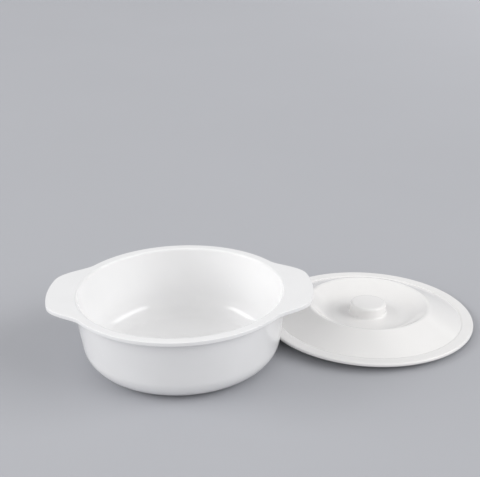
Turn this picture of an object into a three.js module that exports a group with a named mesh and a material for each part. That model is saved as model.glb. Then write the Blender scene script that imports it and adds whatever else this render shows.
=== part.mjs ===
// A round soup bowl with two lug handles on its rim, and its loose lid.
// Millimetres, +Z up. The origin is the middle of the bowl's flat base, and the handles lie along X.
// The lid is off: it lies beside the bowl, low on the table side and leaning on the bowl's lower wall.

import * as THREE from "three";

const degrees = THREE.MathUtils.degToRad;

// Bowl
const bowlHeight = 66.3;
const wallTopRadius = 94;
const wallDraft = degrees(8.1);
const wallThickness = 3.5;
const floorThickness = 4.5;
const outerCornerRadius = 23;
const innerCornerRadius = 19;
const footHeight = 1.2;
const footInset = 3.5;
const footRounding = 0.5;

// Rim and lug handles
const rimOverhang = 6;
const rimThickness = 3.8;
const rimRounding = 0.8;
const underRimFillet = 2;
const mouthRounding = 2.2;
const handleReach = 17.4;
const handleFullAngle = degrees(13.3);
const handleEndAngle = degrees(34.7);

// Lid
const lidInset = 0.5;
const lidWall = 3.2;
const flangeThickness = 3.5;
const domeFootInset = 12.9;
const grooveWidth = 3;
const grooveDepth = 0.6;
const crestInset = 42;
const crestHeight = 12.2;
const crestRounding = 4;
const dishDepth = 10.5;
const dishSlope = degrees(36);
const dishCornerRadius = 20;
const knobRadius = 16.9;
const knobHeight = 10.8;
const knobRounding = 2.6;
const knobRootFillet = 2.2;
const knobWall = 4.5;
const skirtClearance = 0.8;
const skirtThickness = 3;
const skirtDepth = 2;
const skirtRounding = 0.8;
const underLedge = 3;
const leastRounding = 0.4;

// Where the lid lies
const lidAzimuth = degrees(18);
const lidLean = degrees(2);
const leanClearance = 0.3;

// Facets round the axis and steps along each curve
const bowlFacets = 84;
const lidFacets = 64;
const cornerSteps = 7;
const edgeSteps = 2;
const mouthSteps = 3;
const crestSteps = 5;
const dishSteps = 3;

const slope = Math.tan(wallDraft);
const rimRadius = wallTopRadius + rimOverhang;
const rimUnderside = bowlHeight - rimThickness;
const wallAcross = wallThickness / Math.cos(wallDraft);

// Radius of the bowl's straight outer wall line at a height
function outerWall(z) {
  return wallTopRadius - (rimUnderside - z) * slope;
}

// Radius of the inner wall line, one wall thickness inside the outer one
function innerWall(z) {
  return outerWall(z) - wallAcross;
}

// Centre of the arc that runs from a level floor into a wall line and touches both
function cornerCentre(wallLine, floor, radius) {
  const z = floor + radius;
  return new THREE.Vector2(wallLine(z) - radius / Math.cos(wallDraft), z);
}

// Points along an arc from one angle to another, ends included
function arc(centre, radius, from, to, steps) {
  const points = [];
  for (let step = 0; step <= steps; step += 1) {
    const angle = from + ((to - from) * step) / steps;
    points.push(new THREE.Vector2(Math.cos(angle), Math.sin(angle)).multiplyScalar(radius).add(centre));
  }
  return points;
}

// A closed body turned from a profile of (radius, height) points that starts and ends on the axis
function turned(profile, facets) {
  const geometry = new THREE.LatheGeometry(profile, facets);
  geometry.rotateX(Math.PI / 2);
  return geometry;
}

const outerCorner = cornerCentre(outerWall, footHeight, outerCornerRadius);
const innerCorner = cornerCentre(innerWall, floorThickness, innerCornerRadius);
const mouthCentre = new THREE.Vector2(
  innerWall(bowlHeight - mouthRounding) + mouthRounding / Math.cos(wallDraft),
  bowlHeight - mouthRounding,
);

// The bowl's section: base, foot, outer wall, rim edge, mouth, inner wall and floor
function bowlProfile() {
  const footRadius = outerCorner.x - footInset;
  const filletCentre = new THREE.Vector2(
    outerWall(rimUnderside - underRimFillet) + underRimFillet / Math.cos(wallDraft),
    rimUnderside - underRimFillet,
  );
  const edgeRadius = rimRadius - rimRounding;
  const lowerEdge = new THREE.Vector2(edgeRadius, rimUnderside + rimRounding);
  const upperEdge = new THREE.Vector2(edgeRadius, bowlHeight - rimRounding);
  return [
    new THREE.Vector2(0, 0),
    new THREE.Vector2(footRadius - footRounding, 0),
    new THREE.Vector2(footRadius, footRounding),
    new THREE.Vector2(footRadius, footHeight),
    ...arc(outerCorner, outerCornerRadius, -Math.PI / 2, -wallDraft, cornerSteps),
    ...arc(filletCentre, underRimFillet, Math.PI - wallDraft, Math.PI / 2, edgeSteps),
    ...arc(lowerEdge, rimRounding, -Math.PI / 2, 0, edgeSteps),
    ...arc(upperEdge, rimRounding, 0, Math.PI / 2, edgeSteps),
    ...arc(mouthCentre, mouthRounding, Math.PI / 2, Math.PI - wallDraft, mouthSteps),
    ...arc(innerCorner, innerCornerRadius, -wallDraft, -Math.PI / 2, cornerSteps),
    new THREE.Vector2(0, floorThickness),
  ];
}

// How far the rim's edge stands out at an angle from the handles' axis: full on the lug, then an S-curve
function handleBulge(angle) {
  return handleReach * (1 - THREE.MathUtils.smoothstep(angle, handleFullAngle, handleEndAngle));
}

// Draws the rim's edge out into the two lugs, and leaves everything inside the edge where it is
function drawOutHandles(geometry) {
  const positions = geometry.attributes.position;
  const edgeStart = wallTopRadius + rimOverhang / 2;
  for (let index = 0; index < positions.count; index += 1) {
    const x = positions.getX(index);
    const y = positions.getY(index);
    const radius = Math.hypot(x, y);
    if (radius > edgeStart) {
      const grown = (radius + handleBulge(Math.atan2(Math.abs(y), Math.abs(x)))) / radius;
      positions.setXY(index, x * grown, y * grown);
    }
  }
}

// The lid's own frame has its axis on Z and the underside of its flange at zero
const lidRadius = rimRadius - lidInset;
const flangeEdge = flangeThickness / 2;
const skirtRadius = innerWall(bowlHeight - mouthRounding) - skirtClearance;
const domeFoot = new THREE.Vector2(lidRadius - domeFootInset, flangeThickness);
const crestTop = flangeThickness + crestHeight;
const crestCentre = new THREE.Vector2(lidRadius - crestInset, crestTop - crestRounding);
const dishFloor = crestTop - dishDepth;

// The angle that a straight line faces as it rises from a point and touches an arc round the crest's centre
function facing(foot, radius) {
  const toFoot = foot.clone().sub(crestCentre);
  return Math.atan2(toFoot.y, toFoot.x) + Math.acos(radius / toFoot.length());
}

// The dish's slope leaves the crest's arc at this angle and ends in an arc that touches the dish's floor
const dishFacing = Math.PI / 2 + dishSlope;
const dishCorner = new THREE.Vector2(0, dishFloor + dishCornerRadius);
const dishCornerDrop = (dishCorner.y - crestCentre.y) * Math.cos(dishSlope);
dishCorner.x = crestCentre.x - (crestRounding + dishCornerRadius - dishCornerDrop) / Math.sin(dishSlope);

// The shallow groove that runs round the dome's foot: an arc with the groove's width and depth
function grooveArc() {
  const radius = (grooveDepth * grooveDepth + (grooveWidth * grooveWidth) / 4) / (2 * grooveDepth);
  const centre = new THREE.Vector2(domeFoot.x + grooveWidth / 2, domeFoot.y - grooveDepth + radius);
  const half = Math.asin(grooveWidth / 2 / radius);
  return arc(centre, radius, -Math.PI / 2 - half, -Math.PI / 2 + half, edgeSteps).slice(1);
}

// The lid's section: knob, dish, dome, groove, flange, skirt, hollow underside and the knob's core
function lidProfile() {
  const knobTop = dishFloor + knobHeight;
  const knobShoulder = new THREE.Vector2(knobRadius - knobRounding, knobTop - knobRounding);
  const knobRoot = new THREE.Vector2(knobRadius + knobRootFillet, dishFloor + knobRootFillet);
  const coreRadius = knobRadius - knobWall;
  const edgeCentre = new THREE.Vector2(lidRadius - flangeEdge, flangeEdge);
  const skirtInside = skirtRadius - skirtThickness;
  const underCrest = Math.max(crestRounding - lidWall, leastRounding);
  const underFoot = new THREE.Vector2(skirtInside - underLedge, 0);
  const fromTheTop = [
    new THREE.Vector2(0, knobTop),
    ...arc(knobShoulder, knobRounding, Math.PI / 2, 0, edgeSteps + 1),
    ...arc(knobRoot, knobRootFillet, Math.PI, Math.PI * 1.5, edgeSteps),
    ...arc(dishCorner, dishCornerRadius, -Math.PI / 2, dishFacing - Math.PI, dishSteps),
    ...arc(crestCentre, crestRounding, dishFacing, facing(domeFoot, crestRounding), crestSteps),
    domeFoot,
    ...grooveArc(),
    ...arc(edgeCentre, flangeEdge, Math.PI / 2, -Math.PI / 2, edgeSteps * 2),
    new THREE.Vector2(skirtRadius, 0),
    new THREE.Vector2(skirtRadius, skirtRounding - skirtDepth),
    new THREE.Vector2(skirtRadius - skirtRounding, -skirtDepth),
    new THREE.Vector2(skirtInside, -skirtDepth),
    new THREE.Vector2(skirtInside, 0),
    underFoot,
    ...arc(crestCentre, underCrest, facing(underFoot, underCrest), dishFacing, edgeSteps),
    ...arc(dishCorner, dishCornerRadius + lidWall, dishFacing - Math.PI, -Math.PI / 2, dishSteps),
    new THREE.Vector2(coreRadius, dishFloor - lidWall),
    new THREE.Vector2(coreRadius, knobTop - knobWall),
    new THREE.Vector2(0, knobTop - knobWall),
  ];
  return fromTheTop.reverse();
}

// Radius, from the bowl's axis, of a face that keeps a distance from the bowl's outer face at a height
function besideBowl(height, distance) {
  const reach = outerCornerRadius + distance;
  if (height > outerCorner.y - reach * Math.sin(wallDraft)) {
    return outerWall(height) + distance / Math.cos(wallDraft);
  }
  return outerCorner.x + Math.sqrt(reach * reach - (height - outerCorner.y) ** 2);
}

// Where the lid's own origin lies, out from the bowl's axis and up from the table, as it leans
function lidPlace() {
  const sine = Math.sin(lidLean);
  const cosine = Math.cos(lidLean);
  const edgeReach = lidRadius - flangeEdge;
  const height = Math.max(
    skirtRadius * sine + (skirtDepth - skirtRounding) * cosine,
    (skirtRadius - skirtRounding) * sine + skirtDepth * cosine,
    edgeReach * sine + flangeEdge * (1 - cosine),
  );
  const edgeHeight = height + edgeReach * sine + flangeEdge * cosine;
  const out = besideBowl(edgeHeight, flangeEdge + leanClearance) + edgeReach * cosine - flangeEdge * sine;
  return { out, height };
}

function makeBowl() {
  const geometry = turned(bowlProfile(), bowlFacets);
  drawOutHandles(geometry);
  const material = new THREE.MeshStandardMaterial({ color: 0xebebee, roughness: 0.25, metalness: 0 });
  const bowl = new THREE.Mesh(geometry, material);
  bowl.name = "bowl";
  return bowl;
}

function makeLid() {
  const material = new THREE.MeshStandardMaterial({ color: 0xf3f2ee, roughness: 0.25, metalness: 0 });
  const lid = new THREE.Mesh(turned(lidProfile(), lidFacets), material);
  lid.name = "lid";
  const place = lidPlace();
  lid.position.set(place.out, 0, place.height);
  lid.rotation.y = lidLean;
  const turn = new THREE.Group();
  turn.rotation.z = lidAzimuth;
  turn.add(lid);
  return turn;
}

const soupBowl = new THREE.Group();
soupBowl.add(makeBowl(), makeLid());

export default soupBowl;
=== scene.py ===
import math

import bmesh
import bpy
from bpy.props import FloatProperty, FloatVectorProperty, IntProperty, PointerProperty
from mathutils import Matrix, Vector


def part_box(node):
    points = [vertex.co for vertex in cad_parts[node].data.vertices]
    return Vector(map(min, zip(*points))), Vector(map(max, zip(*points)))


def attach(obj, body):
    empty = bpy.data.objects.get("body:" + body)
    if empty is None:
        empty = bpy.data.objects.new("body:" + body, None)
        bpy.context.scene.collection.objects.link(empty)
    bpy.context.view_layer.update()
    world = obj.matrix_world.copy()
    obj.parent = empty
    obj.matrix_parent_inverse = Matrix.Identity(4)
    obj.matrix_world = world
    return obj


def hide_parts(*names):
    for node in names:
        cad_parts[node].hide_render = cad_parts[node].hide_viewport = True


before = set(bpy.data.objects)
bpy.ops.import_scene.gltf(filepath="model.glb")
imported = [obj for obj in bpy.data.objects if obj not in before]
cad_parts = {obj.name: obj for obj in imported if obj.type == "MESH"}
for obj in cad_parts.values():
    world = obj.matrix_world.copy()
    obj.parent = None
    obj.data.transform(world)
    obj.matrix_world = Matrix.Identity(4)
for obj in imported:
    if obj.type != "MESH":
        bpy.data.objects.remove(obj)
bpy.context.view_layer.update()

bl_info = {
    "name": "Soup Bowl with Lid",
    "version": (1, 0, 0),
    "blender": (4, 5, 0),
    "location": "View3D > Sidebar > Soup Bowl",
    "description": "Makes a moulded soup bowl with lug handles, its loose lid and a plain studio",
    "category": "Add Mesh",
}

BOWL_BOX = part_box("bowl")
LID_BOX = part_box("lid")
PICTURE_WIDTH = 480
SENSOR_WIDTH = 36.0
LAMP_TARGET = Vector((0.05, 0.0, 0.04))
LAMP_DISTANCE = 10.7
MATCH_TOLERANCE = 0.001

# Small roundings of the bowl's foot, and of the lid's hollow core, skirt, groove and underside
FOOT_EDGE = 0.0005
FOOT_ROOT = 0.0004
CORE_EDGE = 0.001
SKIRT_ROOT = 0.0005
GROOVE_EDGE = 0.001
GROOVE_BED = 0.0012
LEDGE_EDGE = 0.001
LEAST_ROUNDING = 0.0004

# Half widths of the mould lines, longest steps between rings, and heights below which a face is rubbed
BOWL_LINE_HALF = 0.00022
LID_LINE_HALF = 0.0002
BOWL_RING_STEP = 0.004
LID_RING_STEP = 0.0035
BOWL_RUBBED_BELOW = 0.0003
LID_RUBBED_BELOW = 0.0002

# Finish: the moulding's refraction, how dark its clouding is, its ripple's depth and the paper's mottle
MOULDING_IOR = 1.6
CLOUDED_SHARE = 0.965
RIPPLE_DEPTH = 0.002
PAPER_MOTTLE = 0.02


class BowlSizes(bpy.types.PropertyGroup):
    """Sizes of the bowl and of the lug handles on its rim."""

    height: FloatProperty(
        name="Height", description="From the table to the top of the rim",
        default=BOWL_BOX[1].z, min=0.01, precision=4, subtype="DISTANCE")
    rim_radius: FloatProperty(
        name="Rim Radius", description="Outer radius of the round rim, away from the handles",
        default=BOWL_BOX[1].y, min=0.02, precision=4, subtype="DISTANCE")
    rim_overhang: FloatProperty(
        name="Rim Overhang", description="How far the rim stands out from the wall below it",
        default=0.006, min=0.001, precision=4, subtype="DISTANCE")
    rim_thickness: FloatProperty(
        name="Rim Thickness", description="Thickness of the rim and the handles",
        default=0.0038, min=0.001, precision=4, subtype="DISTANCE")
    rim_rounding: FloatProperty(
        name="Rim Rounding", description="Radius of the rim's two outer edges",
        default=0.0008, min=0.0, precision=4, subtype="DISTANCE")
    under_rim_fillet: FloatProperty(
        name="Under-rim Fillet", description="Radius of the hollow between the rim and the wall",
        default=0.002, min=0.0, precision=4, subtype="DISTANCE")
    mouth_rounding: FloatProperty(
        name="Mouth Rounding", description="Radius of the edge where the rim turns down into the bowl",
        default=0.0022, min=0.0, precision=4, subtype="DISTANCE")
    wall_draft: FloatProperty(
        name="Wall Draft", description="How far the wall leans out from upright",
        default=math.radians(8.1), min=0.0, max=math.radians(40), subtype="ANGLE")
    wall_thickness: FloatProperty(
        name="Wall Thickness", description="Thickness of the wall, square to its face",
        default=0.0035, min=0.001, precision=4, subtype="DISTANCE")
    floor_thickness: FloatProperty(
        name="Floor Thickness", description="From the table to the floor inside the bowl",
        default=0.0045, min=0.001, precision=4, subtype="DISTANCE")
    outer_corner: FloatProperty(
        name="Outer Corner", description="Radius of the turn from the base into the outer wall",
        default=0.023, min=0.0, precision=4, subtype="DISTANCE")
    inner_corner: FloatProperty(
        name="Inner Corner", description="Radius of the turn from the floor into the inner wall",
        default=0.019, min=0.0, precision=4, subtype="DISTANCE")
    foot_height: FloatProperty(
        name="Foot Height", description="Height of the low foot under the base",
        default=0.0012, min=0.0, precision=4, subtype="DISTANCE")
    foot_inset: FloatProperty(
        name="Foot Inset", description="From the start of the outer corner in to the foot",
        default=0.0035, min=0.0, precision=4, subtype="DISTANCE")
    handle_reach: FloatProperty(
        name="Handle Reach", description="How far each lug handle stands out from the round rim",
        default=BOWL_BOX[1].x - BOWL_BOX[1].y, min=0.0, precision=4, subtype="DISTANCE")
    handle_full_angle: FloatProperty(
        name="Handle Full Angle", description="Half the angle over which a handle keeps its full reach",
        default=math.radians(13.3), min=0.0, max=math.radians(60), subtype="ANGLE")
    handle_end_angle: FloatProperty(
        name="Handle End Angle", description="Half the angle at which a handle has run back into the rim",
        default=math.radians(34.7), min=0.0, max=math.radians(80), subtype="ANGLE")
    parting_line: FloatProperty(
        name="Parting Line", description="Height of the fine line that the mould's halves leave on an edge",
        default=0.00006, min=0.0, max=0.0005, precision=5, subtype="DISTANCE")
    segments: IntProperty(
        name="Segments", description="Faces round the bowl's axis", default=192, min=24, max=512)


class LidSizes(bpy.types.PropertyGroup):
    """Sizes of the lid and the place where it lies beside the bowl."""

    rim_gap: FloatProperty(
        name="Rim Gap", description="How much smaller the lid's radius is than the bowl's rim",
        default=0.0005, min=0.0, precision=4, subtype="DISTANCE")
    wall: FloatProperty(
        name="Wall", description="Thickness of the dome and the dish",
        default=0.0032, min=0.001, precision=4, subtype="DISTANCE")
    flange_thickness: FloatProperty(
        name="Flange Thickness", description="Thickness of the flat flange that rests on the rim",
        default=0.0035, min=0.001, precision=4, subtype="DISTANCE")
    flange_rounding: FloatProperty(
        name="Flange Rounding", description="Radius of the flange's two outer edges",
        default=0.0015, min=0.0, precision=4, subtype="DISTANCE")
    dome_foot_inset: FloatProperty(
        name="Dome Foot Inset", description="From the lid's edge in to the foot of the dome",
        default=0.0129, min=0.0, precision=4, subtype="DISTANCE")
    groove_width: FloatProperty(
        name="Groove Width", description="Width of the shallow groove round the dome's foot",
        default=0.003, min=0.0, precision=4, subtype="DISTANCE")
    groove_depth: FloatProperty(
        name="Groove Depth", description="Depth of the groove below the flange",
        default=0.0006, min=0.0, precision=4, subtype="DISTANCE")
    crest_inset: FloatProperty(
        name="Crest Inset", description="From the lid's edge in to the crest of the dome",
        default=0.042, min=0.0, precision=4, subtype="DISTANCE")
    crest_height: FloatProperty(
        name="Crest Height", description="Height of the crest above the flange",
        default=0.0122, min=0.0, precision=4, subtype="DISTANCE")
    crest_rounding: FloatProperty(
        name="Crest Rounding", description="Radius of the crest",
        default=0.004, min=0.0, precision=4, subtype="DISTANCE")
    dish_depth: FloatProperty(
        name="Dish Depth", description="From the crest down to the floor of the dish",
        default=0.0105, min=0.0, precision=4, subtype="DISTANCE")
    dish_slope: FloatProperty(
        name="Dish Slope", description="Slope of the dish's side",
        default=math.radians(36), min=math.radians(5), max=math.radians(80), subtype="ANGLE")
    dish_corner: FloatProperty(
        name="Dish Corner", description="Radius of the turn from the dish's side into its floor",
        default=0.02, min=0.0, precision=4, subtype="DISTANCE")
    knob_radius: FloatProperty(
        name="Knob Radius", description="Radius of the finger knob",
        default=0.0169, min=0.004, precision=4, subtype="DISTANCE")
    knob_height: FloatProperty(
        name="Knob Height", description="Height of the knob above the dish's floor",
        default=0.0108, min=0.0, precision=4, subtype="DISTANCE")
    knob_rounding: FloatProperty(
        name="Knob Rounding", description="Radius of the knob's upper edge",
        default=0.0026, min=0.0, precision=4, subtype="DISTANCE")
    knob_root: FloatProperty(
        name="Knob Root", description="Radius of the hollow round the knob's root",
        default=0.0022, min=0.0, precision=4, subtype="DISTANCE")
    knob_wall: FloatProperty(
        name="Knob Wall", description="Wall round the knob's hollow core",
        default=0.0045, min=0.001, precision=4, subtype="DISTANCE")
    skirt_clearance: FloatProperty(
        name="Skirt Clearance", description="Play between the locating skirt and the bowl's mouth",
        default=0.0008, min=0.0, precision=4, subtype="DISTANCE")
    skirt_thickness: FloatProperty(
        name="Skirt Thickness", description="Thickness of the locating skirt",
        default=0.003, min=0.001, precision=4, subtype="DISTANCE")
    skirt_depth: FloatProperty(
        name="Skirt Depth", description="How far the skirt stands down from the flange",
        default=0.002, min=0.0, precision=4, subtype="DISTANCE")
    skirt_rounding: FloatProperty(
        name="Skirt Rounding", description="Radius of the skirt's lower edges",
        default=0.0008, min=0.0, precision=4, subtype="DISTANCE")
    under_ledge: FloatProperty(
        name="Under Ledge", description="Flat ledge under the lid, inside the skirt",
        default=0.003, min=0.0, precision=4, subtype="DISTANCE")
    azimuth: FloatProperty(
        name="Azimuth", description="Which way the lid lies from the bowl, round from the handles' line",
        default=math.radians(18), subtype="ANGLE")
    lean: FloatProperty(
        name="Lean", description="How far the lid is tipped up towards the bowl",
        default=math.radians(2), min=0.0, max=math.radians(30), subtype="ANGLE")
    lean_gap: FloatProperty(
        name="Lean Gap", description="Gap between the lid's edge and the bowl's lower curve",
        default=0.0003, min=0.0, precision=4, subtype="DISTANCE")
    segments: IntProperty(
        name="Segments", description="Faces round the lid's axis", default=192, min=24, max=512)


class FinishSettings(bpy.types.PropertyGroup):
    """Colours and gloss of the moulded pieces."""

    bowl_white: FloatVectorProperty(
        name="Bowl White", description="Colour of the bowl",
        default=(0.87, 0.868, 0.871), size=3, min=0.0, max=1.0, subtype="COLOR")
    lid_white: FloatVectorProperty(
        name="Lid White", description="Colour of the lid",
        default=(0.87, 0.861, 0.853), size=3, min=0.0, max=1.0, subtype="COLOR")
    gloss: FloatProperty(
        name="Gloss Roughness", description="Roughness of the polished faces",
        default=0.17, min=0.0, max=1.0, subtype="FACTOR")
    gloss_spread: FloatProperty(
        name="Gloss Spread", description="How much the roughness drifts over a face",
        default=0.06, min=0.0, max=0.5, subtype="FACTOR")
    scuffs: FloatProperty(
        name="Scuffs", description="How much the fine handling marks roughen the gloss",
        default=0.12, min=0.0, max=1.0, subtype="FACTOR")
    mould_ripple: FloatProperty(
        name="Mould Ripple", description="Strength of the faint unevenness that moulding leaves",
        default=0.12, min=0.0, max=1.0, subtype="FACTOR")


class StageSettings(bpy.types.PropertyGroup):
    """The camera, the lamps and the floor."""

    camera_place: FloatVectorProperty(
        name="Camera Place", description="Where the camera stands",
        default=(0.0426, -0.8136, 0.4492), size=3, subtype="TRANSLATION")
    camera_aim: FloatVectorProperty(
        name="Camera Aim", description="The point of the floor in the middle of the picture",
        default=(0.0574, 0.2737, 0.0), size=3, subtype="TRANSLATION")
    camera_roll: FloatProperty(
        name="Camera Roll", description="How far the picture is turned anticlockwise",
        default=math.radians(1.1), subtype="ANGLE")
    focal_pixels: FloatProperty(
        name="Focal Length in Pixels", description="The lens, in pixels of the 480-pixel-wide picture",
        default=1018.0, min=100.0)
    floor_colour: FloatVectorProperty(
        name="Floor Colour", description="Colour of the paper sweep",
        default=(0.45, 0.457, 0.485), size=3, min=0.0, max=1.0, subtype="COLOR")
    left_level: FloatProperty(
        name="Left Softbox", description="Brightness of the softbox on the left",
        default=4.4, min=0.0, max=20.0)
    right_level: FloatProperty(
        name="Right Softbox", description="Brightness of the wide softbox on the right",
        default=4.2, min=0.0, max=20.0)
    left_bounce: FloatProperty(
        name="Left Bounce", description="Brightness of the low panel on the left",
        default=3.7, min=0.0, max=20.0)
    right_bounce: FloatProperty(
        name="Right Bounce", description="Brightness of the low panel on the right",
        default=3.6, min=0.0, max=20.0)
    front_bounce: FloatProperty(
        name="Front Bounce", description="Brightness of the panel in front, on the left",
        default=1.29, min=0.0, max=20.0)
    far_level: FloatProperty(
        name="Far Softbox", description="Brightness of the softbox over the far right of the floor",
        default=1.98, min=0.0, max=20.0)
    surround: FloatProperty(
        name="Surround", description="Level of the even light from all round",
        default=0.55, min=0.0, max=2.0, subtype="FACTOR")


def rounded(path, steps=6):
    """Points along a path of (radius, height, rounding, steps) corners, with each one turned into an arc."""
    points = []
    count = len(path)
    for index, (radius, height, rounding, *own) in enumerate(path):
        corner = Vector((radius, height))
        if rounding <= 0.0 or index in (0, count - 1):
            points.append(corner)
            continue
        back = Vector(path[index - 1][:2]) - corner
        ahead = Vector(path[index + 1][:2]) - corner
        half = back.angle(ahead) / 2
        reach = min(rounding / math.tan(half), back.length, ahead.length)
        back.normalize()
        ahead.normalize()
        arc_radius = reach * math.tan(half)
        centre = corner + (back + ahead).normalized() * (arc_radius / math.sin(half))
        start = corner + back * reach - centre
        end = corner + ahead * reach - centre
        sweep = math.atan2(start.x * end.y - start.y * end.x, start.dot(end))
        count_here = own[0] if own else steps
        for step in range(count_here + 1):
            turn = Matrix.Rotation(sweep * step / count_here, 2)
            points.append(centre + turn @ start)
    return points


def ringed(points, longest):
    """The same points, with more between any two that are further apart than the longest step."""
    filled = [points[0]]
    for point in points[1:]:
        gap = (point - filled[-1]).length
        if gap < 1e-7:
            continue
        start = filled[-1]
        cuts = max(1, math.ceil(gap / longest))
        for cut in range(1, cuts + 1):
            filled.append(start.lerp(point, cut / cuts))
    return filled


def turned(name, points, segments, reach=None, place=None, worn=None):
    """A closed, smooth mesh turned round Z from points that start and end on the axis.

    reach gives how far a ring point moves outwards at an angle, place moves the finished mesh, and worn
    gives how much a ring point is rubbed where it rests on the table.
    """
    work = bmesh.new()
    wear = work.verts.layers.float.new("rest_wear")
    bottom = work.verts.new((0.0, 0.0, points[0].y))
    top = work.verts.new((0.0, 0.0, points[-1].y))
    rings = []
    for point in points[1:-1]:
        ring = []
        for turn in range(segments):
            angle = math.tau * turn / segments
            radius = point.x + (reach(point, angle) if reach else 0.0)
            vertex = work.verts.new((radius * math.cos(angle), radius * math.sin(angle), point.y))
            vertex[wear] = worn(point) if worn else 0.0
            ring.append(vertex)
        rings.append(ring)
    bottom[wear] = worn(points[0]) if worn else 0.0
    for turn in range(segments):
        after = (turn + 1) % segments
        work.faces.new((bottom, rings[0][after], rings[0][turn]))
        for lower, upper in zip(rings, rings[1:]):
            work.faces.new((lower[turn], lower[after], upper[after], upper[turn]))
        work.faces.new((top, rings[-1][turn], rings[-1][after]))
    if place is not None:
        bmesh.ops.transform(work, matrix=place, verts=work.verts)
    mesh = bpy.data.meshes.new(name)
    work.to_mesh(mesh)
    work.free()
    mesh.shade_smooth()
    piece = bpy.data.objects.new(name, mesh)
    bpy.context.scene.collection.objects.link(piece)
    even = piece.modifiers.new("Even shading", "WEIGHTED_NORMAL")
    even.weight = 60
    even.keep_sharp = True
    return piece


class BowlShape:
    """The lines and the section of the bowl, from its sizes."""

    def __init__(self, sizes):
        self.sizes = sizes
        self.underside = sizes.height - sizes.rim_thickness
        self.top_radius = sizes.rim_radius - sizes.rim_overhang
        self.slope = math.tan(sizes.wall_draft)
        self.across = sizes.wall_thickness / math.cos(sizes.wall_draft)

    def outer(self, height):
        """Radius of the straight outer wall line at a height."""
        return self.top_radius - (self.underside - height) * self.slope

    def inner(self, height):
        """Radius of the inner wall line at a height."""
        return self.outer(height) - self.across

    def outer_corner_centre(self):
        """Centre of the arc from the base into the outer wall."""
        sizes = self.sizes
        height = sizes.foot_height + sizes.outer_corner
        return Vector((self.outer(height) - sizes.outer_corner / math.cos(sizes.wall_draft), height))

    def beside(self, height, distance):
        """Radius of a face that keeps a distance from the bowl's outer face at a height."""
        sizes = self.sizes
        centre = self.outer_corner_centre()
        reach = sizes.outer_corner + distance
        if height > centre.y - reach * math.sin(sizes.wall_draft):
            return self.outer(height) + distance / math.cos(sizes.wall_draft)
        return centre.x + math.sqrt(reach * reach - (height - centre.y) ** 2)

    def section(self):
        """Ring points from the middle of the base, up the outside, over the rim and down to the floor."""
        sizes = self.sizes
        foot = self.outer_corner_centre().x - sizes.foot_inset
        middle = sizes.height - sizes.rim_thickness / 2
        path = [
            (0.0, 0.0, 0.0),
            (foot, 0.0, FOOT_EDGE, 3),
            (foot, sizes.foot_height, FOOT_ROOT, 3),
            (self.outer(sizes.foot_height), sizes.foot_height, sizes.outer_corner, 18),
            (self.outer(self.underside), self.underside, sizes.under_rim_fillet, 6),
            (sizes.rim_radius, self.underside, sizes.rim_rounding, 6),
            (sizes.rim_radius, middle - BOWL_LINE_HALF, 0.0),
            (sizes.rim_radius + sizes.parting_line, middle, 0.0),
            (sizes.rim_radius, middle + BOWL_LINE_HALF, 0.0),
            (sizes.rim_radius, sizes.height, sizes.rim_rounding, 6),
            (self.inner(sizes.height), sizes.height, sizes.mouth_rounding, 8),
            (self.inner(sizes.floor_thickness), sizes.floor_thickness, sizes.inner_corner, 18),
            (0.0, sizes.floor_thickness, 0.0),
        ]
        return ringed(rounded(path), BOWL_RING_STEP)

    def bulge(self, angle):
        """How far a handle stands out at an angle from the handles' line: full on it, then an S-curve."""
        sizes = self.sizes
        turn = math.atan2(abs(math.sin(angle)), abs(math.cos(angle)))
        run = (turn - sizes.handle_full_angle) / (sizes.handle_end_angle - sizes.handle_full_angle)
        run = min(max(run, 0.0), 1.0)
        return sizes.handle_reach * (1 - run * run * (3 - 2 * run))

    def reach(self, point, angle):
        """How far a ring point moves out for the handles: fully at the rim's edge, not at wall or mouth."""
        sizes = self.sizes
        if point.y < self.underside - 1e-6:
            return 0.0
        if point.y > sizes.height - sizes.rim_thickness / 2:
            start = self.inner(sizes.height) + sizes.mouth_rounding
        else:
            start = self.outer(self.underside) + sizes.under_rim_fillet
        share = (point.x - start) / (sizes.rim_radius - sizes.rim_rounding - start)
        return self.bulge(angle) * min(max(share, 0.0), 1.0)

    def worn(self, point):
        """The foot is rubbed by the table."""
        return 1.0 if point.y < BOWL_RUBBED_BELOW else 0.0


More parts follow.
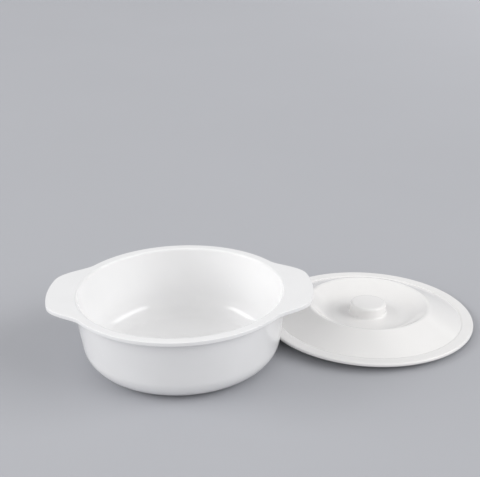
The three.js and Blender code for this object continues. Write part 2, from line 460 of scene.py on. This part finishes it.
class LidShape:
    """The lines, the section and the place of the lid, from its sizes and the bowl's."""

    def __init__(self, sizes, bowl):
        self.sizes = sizes
        self.bowl = bowl
        self.radius = bowl.sizes.rim_radius - sizes.rim_gap
        mouth = bowl.sizes.height - bowl.sizes.mouth_rounding
        self.skirt_radius = bowl.inner(mouth) - sizes.skirt_clearance
        self.crest_top = sizes.flange_thickness + sizes.crest_height
        self.crest = Vector((self.radius - sizes.crest_inset, self.crest_top - sizes.crest_rounding))
        self.dish_floor = self.crest_top - sizes.dish_depth
        dish_facing = math.pi / 2 + sizes.dish_slope
        self.dish_normal = Vector((math.cos(dish_facing), math.sin(dish_facing)))

    def dome_normal(self, foot, rounding):
        """The way a straight dome line faces that rises from its foot and touches the crest's arc."""
        to_foot = foot - self.crest
        facing = math.atan2(to_foot.y, to_foot.x) + math.acos(rounding / to_foot.length)
        return Vector((math.cos(facing), math.sin(facing)))

    def peak(self, foot, rounding):
        """Where the dome line and the dish's slope would meet if the crest weren't rounded."""
        dome = self.dome_normal(foot, rounding)
        return self.crest + (dome + self.dish_normal) * (rounding / (1 + dome.dot(self.dish_normal)))

    def dish_foot(self, floor, rounding):
        """Radius at which the dish's slope would meet a level floor."""
        drop = (floor - self.crest.y) * self.dish_normal.y
        return self.crest.x + (rounding - drop) / self.dish_normal.x

    def section(self):
        """Ring points from the knob's core, out under the lid, round the flange and up to the knob's top."""
        sizes = self.sizes
        flange = sizes.flange_thickness
        dome_foot = Vector((self.radius - sizes.dome_foot_inset, flange))
        peak = self.peak(dome_foot, sizes.crest_rounding)
        knob_top = self.dish_floor + sizes.knob_height
        core = sizes.knob_radius - sizes.knob_wall
        core_top = knob_top - sizes.knob_wall
        skirt_inside = self.skirt_radius - sizes.skirt_thickness
        under_rounding = max(sizes.crest_rounding - sizes.wall, LEAST_ROUNDING)
        under_foot = Vector((skirt_inside - sizes.under_ledge, 0.0))
        under_peak = self.peak(under_foot, under_rounding)
        under_floor = self.dish_floor - sizes.wall
        under_dish = self.dish_foot(under_floor, under_rounding)
        dish_foot = self.dish_foot(self.dish_floor, sizes.crest_rounding)
        line = self.radius + self.bowl.sizes.parting_line
        path = [
            (0.0, core_top, 0.0),
            (core, core_top, CORE_EDGE, 4),
            (core, under_floor, CORE_EDGE, 4),
            (under_dish, under_floor, sizes.dish_corner + sizes.wall, 10),
            (under_peak.x, under_peak.y, under_rounding, 6),
            (under_foot.x, under_foot.y, LEDGE_EDGE, 4),
            (skirt_inside, 0.0, SKIRT_ROOT, 4),
            (skirt_inside, -sizes.skirt_depth, sizes.skirt_rounding, 4),
            (self.skirt_radius, -sizes.skirt_depth, sizes.skirt_rounding, 4),
            (self.skirt_radius, 0.0, SKIRT_ROOT, 4),
            (self.radius, 0.0, sizes.flange_rounding, 8),
            (self.radius, flange / 2 - LID_LINE_HALF, 0.0),
            (line, flange / 2, 0.0),
            (self.radius, flange / 2 + LID_LINE_HALF, 0.0),
            (self.radius, flange, sizes.flange_rounding, 8),
            (dome_foot.x + sizes.groove_width, flange, GROOVE_EDGE, 5),
            (dome_foot.x + sizes.groove_width / 2, flange - sizes.groove_depth, GROOVE_BED, 5),
            (peak.x, peak.y, sizes.crest_rounding, 14),
            (dish_foot, self.dish_floor, sizes.dish_corner, 14),
            (sizes.knob_radius, self.dish_floor, sizes.knob_root, 7),
            (sizes.knob_radius, knob_top, sizes.knob_rounding, 9),
            (0.0, knob_top, 0.0),
        ]
        return ringed(rounded(path), LID_RING_STEP)

    def place(self):
        """The matrix that lays the lid on the table, with its edge leaning on the bowl's lower curve."""
        sizes = self.sizes
        sine = math.sin(sizes.lean)
        cosine = math.cos(sizes.lean)
        half = sizes.flange_thickness / 2
        edge = self.radius - half
        height = max(
            self.skirt_radius * sine + (sizes.skirt_depth - sizes.skirt_rounding) * cosine,
            (self.skirt_radius - sizes.skirt_rounding) * sine + sizes.skirt_depth * cosine,
            edge * sine + half * (1 - cosine),
        )
        edge_height = height + edge * sine + half * cosine
        out = self.bowl.beside(edge_height, half + sizes.lean_gap) + edge * cosine - half * sine
        round_bowl = Matrix.Rotation(sizes.azimuth, 4, "Z")
        return round_bowl @ Matrix.Translation((out, 0.0, height)) @ Matrix.Rotation(sizes.lean, 4, "Y")

    def worn(self, point):
        """The skirt and the flange's underside are rubbed by the table and the rim."""
        outside = point.x > self.skirt_radius - self.sizes.skirt_thickness
        return 1.0 if outside and point.y < LID_RUBBED_BELOW else 0.0


def nodes_of(tree):
    """A function that adds a node to a tree, sets its plain inputs and joins the given sockets to it."""
    def add(kind, inputs=None, **values):
        node = tree.nodes.new(kind)
        for key, value in values.items():
            setattr(node, key, value)
        for key, value in (inputs or {}).items():
            if isinstance(value, bpy.types.NodeSocket):
                tree.links.new(value, node.inputs[key])
            else:
                node.inputs[key].default_value = value
        return node
    return add


def moulded_gloss():
    """The shared finish of polished mouldings: drifting gloss, clouding, ripple, scuffs and rubbed feet."""
    group = bpy.data.node_groups.get("Moulded gloss")
    if group:
        return group
    group = bpy.data.node_groups.new("Moulded gloss", "ShaderNodeTree")
    face = group.interface
    for name, kind in (("Place", "NodeSocketVector"), ("White", "NodeSocketColor"),
                       ("Shade", "NodeSocketColor"), ("Rest Wear", "NodeSocketFloat"),
                       ("Gloss", "NodeSocketFloat"), ("Spread", "NodeSocketFloat"),
                       ("Scuffs", "NodeSocketFloat")):
        face.new_socket(name, in_out="INPUT", socket_type=kind)
    for name, kind in (("Colour", "NodeSocketColor"), ("Roughness", "NodeSocketFloat"),
                       ("Height", "NodeSocketFloat")):
        face.new_socket(name, in_out="OUTPUT", socket_type=kind)
    add = nodes_of(group)
    given = add("NodeGroupInput").outputs
    cloud = add("ShaderNodeTexNoise", {"Vector": given["Place"], "Scale": 24.0, "Detail": 2.0})
    drift = add("ShaderNodeTexNoise", {"Vector": given["Place"], "Scale": 70.0, "Detail": 3.0})
    grain = add("ShaderNodeTexNoise", {"Vector": given["Place"], "Scale": 900.0, "Detail": 2.0})

    # Fine handling marks: thin curved lines where a distorted noise crosses its middle, in a few patches
    streak = add("ShaderNodeTexNoise", {"Vector": given["Place"], "Scale": 60.0, "Detail": 1.0,
                                        "Distortion": 1.2})
    crossing = add("ShaderNodeMath", {0: streak.outputs["Fac"], 1: 0.5}, operation="SUBTRACT")
    distance = add("ShaderNodeMath", {0: crossing.outputs[0]}, operation="ABSOLUTE")
    thin = add("ShaderNodeMapRange", {"Value": distance.outputs[0], "From Min": 0.0, "From Max": 0.004,
                                      "To Min": 1.0, "To Max": 0.0})
    patch = add("ShaderNodeMapRange", {"Value": drift.outputs["Fac"], "From Min": 0.52, "From Max": 0.66})
    mark = add("ShaderNodeMath", {0: thin.outputs[0], 1: patch.outputs[0]}, operation="MULTIPLY")

    # The rubbed feet are broken up by the grain
    rub = add("ShaderNodeMapRange", {"Value": grain.outputs["Fac"], "From Min": 0.3, "From Max": 0.7})
    rubbed = add("ShaderNodeMath", {0: rub.outputs[0], 1: given["Rest Wear"]}, operation="MULTIPLY")

    # Clouding of the white, deeper where the piece is rubbed
    clouding = add("ShaderNodeMapRange", {"Value": cloud.outputs["Fac"], "From Min": 0.35, "From Max": 0.7,
                                          "To Min": 0.0, "To Max": 0.6})
    shaded = add("ShaderNodeMath", {0: clouding.outputs[0], 1: rubbed.outputs[0]},
                 operation="ADD", use_clamp=True)
    colour = add("ShaderNodeMix", data_type="RGBA")
    group.links.new(shaded.outputs[0], colour.inputs["Factor"])
    group.links.new(given["White"], colour.inputs[6])
    group.links.new(given["Shade"], colour.inputs[7])

    # Roughness: the gloss, its slow drift, the marks and the rubbing
    swing = add("ShaderNodeMath", {0: drift.outputs["Fac"], 1: 0.5}, operation="SUBTRACT")
    drifted = add("ShaderNodeMath", {0: swing.outputs[0], 1: given["Spread"], 2: given["Gloss"]},
                  operation="MULTIPLY_ADD")
    marked = add("ShaderNodeMath", {0: mark.outputs[0], 1: given["Scuffs"], 2: drifted.outputs[0]},
                 operation="MULTIPLY_ADD")
    rough = add("ShaderNodeMath", {0: rubbed.outputs[0], 1: 0.3, 2: marked.outputs[0]},
                operation="MULTIPLY_ADD", use_clamp=True)

    # Height: slow ripple of the moulding and a trace of grain, with the marks cut in
    ripple = add("ShaderNodeMath", {0: grain.outputs["Fac"], 1: 0.02, 2: cloud.outputs["Fac"]},
                 operation="MULTIPLY_ADD")
    height = add("ShaderNodeMath", {0: mark.outputs[0], 1: -0.02, 2: ripple.outputs[0]},
                 operation="MULTIPLY_ADD")
    add("NodeGroupOutput", {"Colour": colour.outputs[2], "Roughness": rough.outputs[0],
                            "Height": height.outputs[0]})
    return group


def moulded_white(name, white, finish):
    """A polished white moulding material with its own white in the shared finish."""
    material = bpy.data.materials.new(name)
    material.use_nodes = True
    tree = material.node_tree
    tree.nodes.clear()
    add = nodes_of(tree)
    place = add("ShaderNodeTexCoord").outputs["Object"]
    wear = add("ShaderNodeAttribute", attribute_name="rest_wear").outputs["Fac"]
    gloss = add("ShaderNodeGroup", node_tree=moulded_gloss())
    tree.links.new(place, gloss.inputs["Place"])
    tree.links.new(wear, gloss.inputs["Rest Wear"])
    gloss.inputs["White"].default_value = (*white, 1.0)
    gloss.inputs["Shade"].default_value = (*(part * CLOUDED_SHARE for part in white), 1.0)
    gloss.inputs["Gloss"].default_value = finish.gloss
    gloss.inputs["Spread"].default_value = finish.gloss_spread
    gloss.inputs["Scuffs"].default_value = finish.scuffs
    bump = add("ShaderNodeBump", {"Height": gloss.outputs["Height"], "Strength": finish.mould_ripple,
                                  "Distance": RIPPLE_DEPTH})
    surface = add("ShaderNodeBsdfPrincipled", {
        "Base Color": gloss.outputs["Colour"], "Roughness": gloss.outputs["Roughness"],
        "Normal": bump.outputs["Normal"], "IOR": MOULDING_IOR})
    add("ShaderNodeOutputMaterial", {"Surface": surface.outputs["BSDF"]})
    material.diffuse_color = (*white, 1.0)
    return material


def paper(colour):
    """Matt grey backdrop paper with a faint mottle."""
    material = bpy.data.materials.new("studio_paper")
    material.use_nodes = True
    tree = material.node_tree
    tree.nodes.clear()
    add = nodes_of(tree)
    place = add("ShaderNodeTexCoord").outputs["Object"]
    mottle = add("ShaderNodeTexNoise", {"Vector": place, "Scale": 3.0, "Detail": 4.0})
    tone = add("ShaderNodeMix", data_type="RGBA")
    tree.links.new(mottle.outputs["Fac"], tone.inputs["Factor"])
    tone.inputs[6].default_value = (*(part * (1 - PAPER_MOTTLE) for part in colour), 1.0)
    tone.inputs[7].default_value = (*(part * (1 + PAPER_MOTTLE) for part in colour), 1.0)
    surface = add("ShaderNodeBsdfPrincipled", {"Base Color": tone.outputs[2], "Roughness": 0.7,
                                               "Specular IOR Level": 0.2})
    add("ShaderNodeOutputMaterial", {"Surface": surface.outputs["BSDF"]})
    return material


def matched(piece, box, node):
    """Stops if a finished piece isn't where its CAD node is."""
    corners = [Vector(corner) for corner in piece.bound_box]
    low = Vector([min(corner[axis] for corner in corners) for axis in range(3)])
    high = Vector([max(corner[axis] for corner in corners) for axis in range(3)])
    worst = max((low - box[0]).length, (high - box[1]).length)
    if worst > MATCH_TOLERANCE:
        raise RuntimeError("the made %s is %.1f mm off its CAD node" % (node, worst * 1000))


def finish_piece(piece, node, material):
    """Gives a piece its material and ties it to the CAD node and body that it stands for."""
    piece.data.materials.append(material)
    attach(piece, node)
    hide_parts(node)


def aimed(place, target, roll=0.0):
    """The matrix of a camera or lamp that looks from a place at a target."""
    look = (Vector(target) - Vector(place)).to_track_quat("-Z", "Y").to_matrix().to_4x4()
    return Matrix.Translation(place) @ look @ Matrix.Rotation(-roll, 4, "Z")


def area_lamp(name, place, target, width, height, level):
    """A rectangular lamp with an even level of brightness, which doesn't change with its size."""
    data = bpy.data.lights.new(name, "AREA")
    data.shape = "RECTANGLE"
    data.size = width
    data.size_y = height
    data.energy = level * math.pi * width * height
    lamp = bpy.data.objects.new(name, data)
    bpy.context.scene.collection.objects.link(lamp)
    lamp.matrix_world = aimed(place, target)
    return lamp


def softbox(name, azimuth, low, high, width, level, mirrored=True):
    """A large lamp that faces the pieces from an azimuth, between two elevations, all in degrees.

    One that isn't mirrored lights the pieces but is kept out of their reflections.
    """
    turn = math.radians(azimuth)
    elevation = math.radians((low + high) / 2)
    outwards = Vector((math.cos(turn), math.sin(turn), 0.0))
    away = outwards * math.cos(elevation) + Vector((0.0, 0.0, math.sin(elevation)))
    height = 2 * LAMP_DISTANCE * math.tan(math.radians(high - low) / 2)
    lamp = area_lamp(name, LAMP_TARGET + away * LAMP_DISTANCE, LAMP_TARGET, width, height, level)
    lamp.visible_glossy = mirrored


class SOUPBOWL_OT_make_bowl(bpy.types.Operator):
    """Make the bowl with its rim and lug handles"""

    bl_idname = "soup_bowl.make_bowl"
    bl_label = "Make Bowl"
    bl_options = {"REGISTER", "UNDO"}

    def execute(self, context):
        finish = context.scene.soup_bowl_finish
        shape = BowlShape(context.scene.soup_bowl_bowl)
        segments = shape.sizes.segments
        piece = turned("bowl_moulding", shape.section(), segments, reach=shape.reach, worn=shape.worn)
        matched(piece, BOWL_BOX, "bowl")
        finish_piece(piece, "bowl", moulded_white("bowl_melamine", finish.bowl_white, finish))
        return {"FINISHED"}


class SOUPBOWL_OT_make_lid(bpy.types.Operator):
    """Make the lid with its dished top and finger knob, and lay it beside the bowl"""

    bl_idname = "soup_bowl.make_lid"
    bl_label = "Make Lid"
    bl_options = {"REGISTER", "UNDO"}

    def execute(self, context):
        finish = context.scene.soup_bowl_finish
        shape = LidShape(context.scene.soup_bowl_lid, BowlShape(context.scene.soup_bowl_bowl))
        segments = shape.sizes.segments
        piece = turned("lid_moulding", shape.section(), segments, place=shape.place(), worn=shape.worn)
        matched(piece, LID_BOX, "lid")
        finish_piece(piece, "lid", moulded_white("lid_melamine", finish.lid_white, finish))
        return {"FINISHED"}


class SOUPBOWL_OT_make_stage(bpy.types.Operator):
    """Make the floor, the lamps and the camera"""

    bl_idname = "soup_bowl.make_stage"
    bl_label = "Make Stage"
    bl_options = {"REGISTER", "UNDO"}

    def execute(self, context):
        settings = context.scene.soup_bowl_stage
        self.make_sweep(context, settings)
        self.make_light(context, settings)
        self.make_camera(context, settings)
        context.scene.view_settings.view_transform = "Standard"
        return {"FINISHED"}

    def make_sweep(self, context, settings):
        """A paper sweep: a level floor that curves up behind."""
        half_width = 26.0
        front = -26.0
        back = 6.0
        bend = 2.0
        top = 4.5
        bend_steps = 24
        line = [(front, 0.0)]
        for step in range(bend_steps + 1):
            angle = math.pi / 2 * step / bend_steps
            line.append((back + bend * math.sin(angle), bend * (1 - math.cos(angle))))
        line.append((back + bend, top))
        work = bmesh.new()
        left = [work.verts.new((-half_width, y, z)) for y, z in line]
        right = [work.verts.new((half_width, y, z)) for y, z in line]
        for index in range(len(line) - 1):
            work.faces.new((left[index], right[index], right[index + 1], left[index + 1]))
        mesh = bpy.data.meshes.new("studio_sweep")
        work.to_mesh(mesh)
        work.free()
        mesh.shade_smooth()
        mesh.materials.append(paper(settings.floor_colour))
        sweep = bpy.data.objects.new("studio_sweep", mesh)
        context.scene.collection.objects.link(sweep)

    def make_light(self, context, settings):
        """Softboxes at both sides, bounce panels below them and in front, and even light from all round."""
        for side, azimuth, low, seam, high, width, level, bounce in (
            ("left", 182, 5.5, 26.5, 41.5, 7.1, settings.left_level, settings.left_bounce),
            ("right", 347, 14, 27, 42.6, 9.4, settings.right_level, settings.right_bounce),
        ):
            softbox("softbox_" + side, azimuth, seam, high, width, level)
            softbox("bounce_" + side, azimuth, low, seam, width, bounce, mirrored=False)
        softbox("bounce_front", 230, 19.5, 50, 7.6, settings.front_bounce, mirrored=False)

        # One more over the far floor, tipped away from the pieces
        far_place = (2.2, 1.7, 1.3)
        far_target = (2.4, 2.4, 0.0)
        far_width = 1.7
        area_lamp("softbox_far", far_place, far_target, far_width, far_width, settings.far_level)

        world = bpy.data.worlds.new("studio_surround")
        world.use_nodes = True
        background = world.node_tree.nodes["Background"]
        background.inputs["Color"].default_value = (1.0, 1.0, 1.0, 1.0)
        background.inputs["Strength"].default_value = settings.surround
        context.scene.world = world

    def make_camera(self, context, settings):
        """The camera at the photograph's viewing angle."""
        data = bpy.data.cameras.new("camera")
        data.sensor_width = SENSOR_WIDTH
        data.lens = settings.focal_pixels / PICTURE_WIDTH * SENSOR_WIDTH
        data.clip_end = 50.0
        camera = bpy.data.objects.new("camera", data)
        context.scene.collection.objects.link(camera)
        camera.matrix_world = aimed(settings.camera_place, settings.camera_aim, settings.camera_roll)
        context.scene.camera = camera


class SOUPBOWL_PT_panel(bpy.types.Panel):
    """Lists the sizes, finishes and makers of the soup bowl"""

    bl_idname = "SOUPBOWL_PT_panel"
    bl_label = "Soup Bowl with Lid"
    bl_space_type = "VIEW_3D"
    bl_region_type = "UI"
    bl_category = "Soup Bowl"

    def draw(self, context):
        scene = context.scene
        for label, settings, maker in (
            ("Bowl", scene.soup_bowl_bowl, SOUPBOWL_OT_make_bowl.bl_idname),
            ("Lid", scene.soup_bowl_lid, SOUPBOWL_OT_make_lid.bl_idname),
            ("Finish", scene.soup_bowl_finish, None),
            ("Stage", scene.soup_bowl_stage, SOUPBOWL_OT_make_stage.bl_idname),
        ):
            box = self.layout.box()
            box.label(text=label)
            for name in settings.__annotations__:
                box.prop(settings, name)
            if maker:
                box.operator(maker)


CLASSES = (
    BowlSizes,
    LidSizes,
    FinishSettings,
    StageSettings,
    SOUPBOWL_OT_make_bowl,
    SOUPBOWL_OT_make_lid,
    SOUPBOWL_OT_make_stage,
    SOUPBOWL_PT_panel,
)


def register():
    for made in CLASSES:
        bpy.utils.register_class(made)
    bpy.types.Scene.soup_bowl_bowl = PointerProperty(type=BowlSizes)
    bpy.types.Scene.soup_bowl_lid = PointerProperty(type=LidSizes)
    bpy.types.Scene.soup_bowl_finish = PointerProperty(type=FinishSettings)
    bpy.types.Scene.soup_bowl_stage = PointerProperty(type=StageSettings)


def unregister():
    del bpy.types.Scene.soup_bowl_stage
    del bpy.types.Scene.soup_bowl_finish
    del bpy.types.Scene.soup_bowl_lid
    del bpy.types.Scene.soup_bowl_bowl
    for made in reversed(CLASSES):
        bpy.utils.unregister_class(made)


def main():
    register()
    bpy.ops.soup_bowl.make_bowl()
    bpy.ops.soup_bowl.make_lid()
    bpy.ops.soup_bowl.make_stage()


if __name__ == "__main__":
    main()
